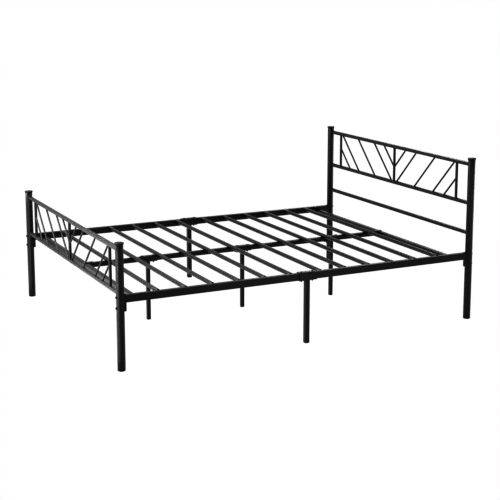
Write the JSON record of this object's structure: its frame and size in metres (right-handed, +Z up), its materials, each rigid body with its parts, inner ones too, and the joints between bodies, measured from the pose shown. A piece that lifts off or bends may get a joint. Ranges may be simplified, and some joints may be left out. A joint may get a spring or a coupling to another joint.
{
  "type": "metal bed frame",
  "caption": "Black powder-coated metal platform bed frame with round posts, head and foot panels of slanted rods, tubular slats and square mid legs.",
  "frame": {"origin": "centre of the footprint, on the floor that the feet stand on", "axes": "+Z up; +Y towards the headboard; +X to the right of someone who stands at the foot and looks at the headboard"},
  "size_m": [1.6064, 2.1276, 0.921],
  "materials": {
    "black_powder_coat": "semi-gloss black powder coat with a fine orange-peel texture",
    "black_plastic": "moulded black plastic, satin",
    "black_bolt_steel": "black-oxide bolt steel, semi-gloss"
  },
  "bodies": {
    "root": {"bolt_centre_leg_foot_a": "black_bolt_steel", "bolt_centre_leg_foot_b": "black_bolt_steel", "bolt_centre_leg_head_a": "black_bolt_steel", "bolt_centre_leg_head_b": "black_bolt_steel", "bolt_centre_leg_middle_a": "black_bolt_steel", "bolt_centre_leg_middle_b": "black_bolt_steel", "bolt_foot_left_lower": "black_bolt_steel", "bolt_foot_left_upper": "black_bolt_steel", "bolt_foot_right_lower": "black_bolt_steel", "bolt_foot_right_upper": "black_bolt_steel", "bolt_head_left_lower": "black_bolt_steel", "bolt_head_left_upper": "black_bolt_steel", "bolt_head_right_lower": "black_bolt_steel", "bolt_head_right_upper": "black_bolt_steel", "bolt_side_leg_left_a": "black_bolt_steel", "bolt_side_leg_left_b": "black_bolt_steel", "bolt_side_leg_right_a": "black_bolt_steel", "bolt_side_leg_right_b": "black_bolt_steel", "centre_leg_foot": "black_powder_coat", "centre_leg_head": "black_powder_coat", "centre_leg_middle": "black_powder_coat", "centre_rail_foot": "black_powder_coat", "centre_rail_head": "black_powder_coat", "cross_member_foot": "black_powder_coat", "cross_member_head": "black_powder_coat", "foot_post_cap_left": "black_plastic", "foot_post_cap_right": "black_plastic", "foot_post_foot_left": "black_plastic", "foot_post_foot_right": "black_plastic", "foot_post_left": "black_powder_coat", "foot_post_right": "black_powder_coat", "footboard_panel": "black_powder_coat", "head_post_cap_left": "black_plastic", "head_post_cap_right": "black_plastic", "head_post_foot_left": "black_plastic", "head_post_foot_right": "black_plastic", "head_post_left": "black_powder_coat", "head_post_right": "black_powder_coat", "headboard_lower_rail": "black_powder_coat", "headboard_panel": "black_powder_coat", "side_leg_left": "black_powder_coat", "side_leg_right": "black_powder_coat", "side_rail_left_foot": "black_powder_coat", "side_rail_left_head": "black_powder_coat", "side_rail_right_foot": "black_powder_coat", "side_rail_right_head": "black_powder_coat", "slat_01": "black_powder_coat", "slat_02": "black_powder_coat", "slat_03": "black_powder_coat", "slat_04": "black_powder_coat", "slat_05": "black_powder_coat", "slat_06": "black_powder_coat", "slat_07": "black_powder_coat", "slat_08": "black_powder_coat", "slat_09": "black_powder_coat", "slat_10": "black_powder_coat", "slat_11": "black_powder_coat", "slat_12": "black_powder_coat"}
  },
  "joints": []
}
